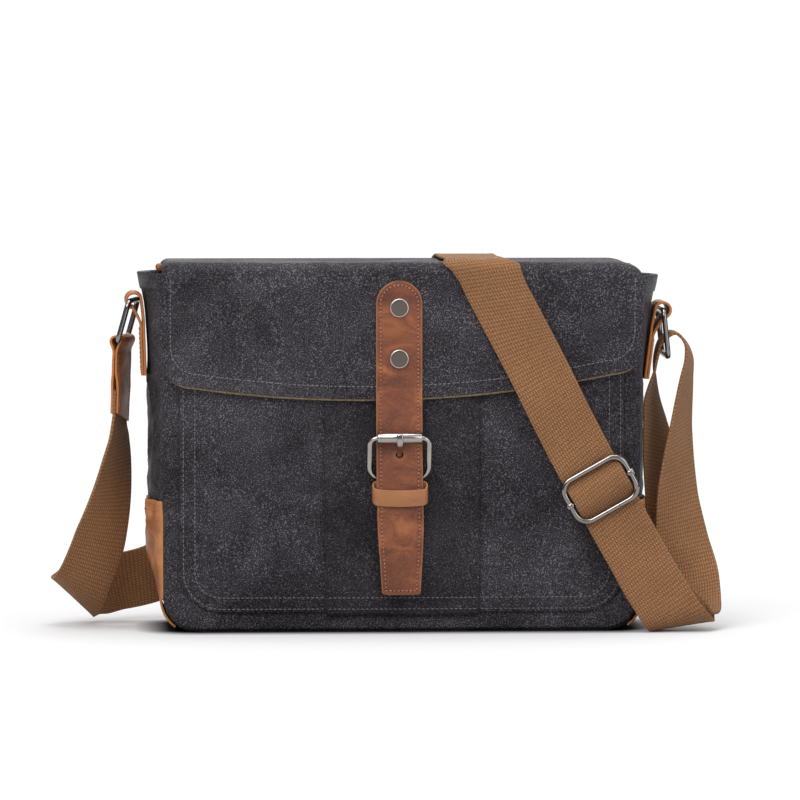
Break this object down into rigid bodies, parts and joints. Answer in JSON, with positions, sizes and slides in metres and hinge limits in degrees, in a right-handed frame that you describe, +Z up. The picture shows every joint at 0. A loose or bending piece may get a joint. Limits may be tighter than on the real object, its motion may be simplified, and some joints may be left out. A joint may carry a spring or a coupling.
{
  "type": "messenger bag",
  "caption": "Waxed canvas messenger bag with a hinged flap, leather strap with roller buckle, front pocket, ring tabs and an adjustable webbing shoulder strap.",
  "frame": {"origin": "centre of the bag's bottom, on the surface that it stands on", "axes": "+Z up, -Y towards the front with the buckle, +X towards the bag's left hand side as worn, which is the viewer's right"},
  "size_m": [0.4921, 0.1405, 0.274],
  "materials": {
    "canvas": "waxed cotton canvas, charcoal with a heather speckle",
    "lining": "khaki cotton lining",
    "strap_leather": "oiled pull-up leather, reddish brown",
    "tan_leather": "oiled pull-up leather, tan",
    "webbing": "woven cotton webbing, khaki brown",
    "gunmetal": "polished gunmetal plate",
    "nickel": "satin nickel plate",
    "board": "grey-brown fibre board"
  },
  "bodies": {
    "bag": {"front_panel": "canvas", "back_panel": "canvas", "bottom_panel": "canvas", "left_gusset": "canvas", "right_gusset": "canvas", "base_board": "board", "lining": "lining", "left_corner_patch": "tan_leather", "right_corner_patch": "tan_leather", "mouth_tab": "tan_leather", "front_pocket": "canvas", "pocket_pleat": "canvas", "magnet_socket": "gunmetal", "left_ring_tab": "tan_leather", "right_ring_tab": "tan_leather"},
    "flap_top": {"flap_top": "canvas", "flap_top_lining": "lining"},
    "flap_front": {"flap_front": "canvas", "flap_front_lining": "lining", "flap_strap": "strap_leather", "rivet_upper": "gunmetal", "rivet_lower": "gunmetal", "buckle_tab": "strap_leather", "buckle_frame": "nickel", "magnet_stud": "gunmetal"},
    "roller": {"buckle_roller": "nickel"},
    "prong": {"buckle_prong": "nickel"},
    "keeper": {"keeper_loop": "tan_leather"},
    "left_ring": {"left_ring": "gunmetal", "left_connector": "tan_leather"},
    "right_ring": {"right_ring": "gunmetal"},
    "strap": {"strap_webbing": "webbing"},
    "slider": {"slider_frame": "nickel"},
    "slider_bar": {"slider_bar": "nickel"}
  },
  "joints": [
    {"name": "flap_hinge", "type": "hinge", "parent": "bag", "child": "flap_top", "pos_m": [0, 0.0482, 0.2685], "axis": [-1, 0, 0], "range_deg": [0, 215]},
    {"name": "flap_fold", "type": "hinge", "parent": "flap_top", "child": "flap_front", "pos_m": [0, -0.0565, 0.2651], "axis": [-1, 0, 0], "range_deg": [0, 90]},
    {"name": "roller_spin", "type": "hinge", "parent": "flap_front", "child": "roller", "pos_m": [-0.0029, -0.071, 0.1428], "axis": [1, 0, 0], "continuous": true},
    {"name": "prong_lift", "type": "hinge", "parent": "flap_front", "child": "prong", "pos_m": [-0.0029, -0.0603, 0.113], "axis": [1, 0, 0], "range_deg": [0, 3]},
    {"name": "keeper_slide", "type": "slide", "parent": "flap_front", "child": "keeper", "axis": [0, 0, 1], "range_m": [-0.008, 0.001]},
    {"name": "left_ring_swing", "type": "hinge", "parent": "bag", "child": "left_ring", "pos_m": [-0.1952, 0, 0.241], "axis": [0, 1, 0], "range_deg": [-6, 35]},
    {"name": "right_ring_swing", "type": "hinge", "parent": "bag", "child": "right_ring", "pos_m": [0.1936, 0, 0.2334], "axis": [0, -1, 0], "range_deg": [-4, 35]},
    {"name": "strap_lift", "type": "slide", "parent": "bag", "child": "strap", "axis": [0, 0, 1], "range_m": [0, 0.285], "deforming": ["strap_webbing"]},
    {"name": "slider_slide", "type": "slide", "parent": "strap", "child": "slider", "axis": [0.4894, 0, -0.8721], "range_m": [-0.04, 0.035]},
    {"name": "bar_slide", "type": "slide", "parent": "slider", "child": "slider_bar", "axis": [0.4894, 0, -0.8721], "range_m": [-0.005, 0.005]}
  ],
  "couplings": [
    {"joint": "flap_fold", "follows": "flap_hinge", "ratio": 0.4186},
    {"joint": "strap_lift", "follows": "flap_hinge", "m_per_rad": 0.0746}
  ]
}
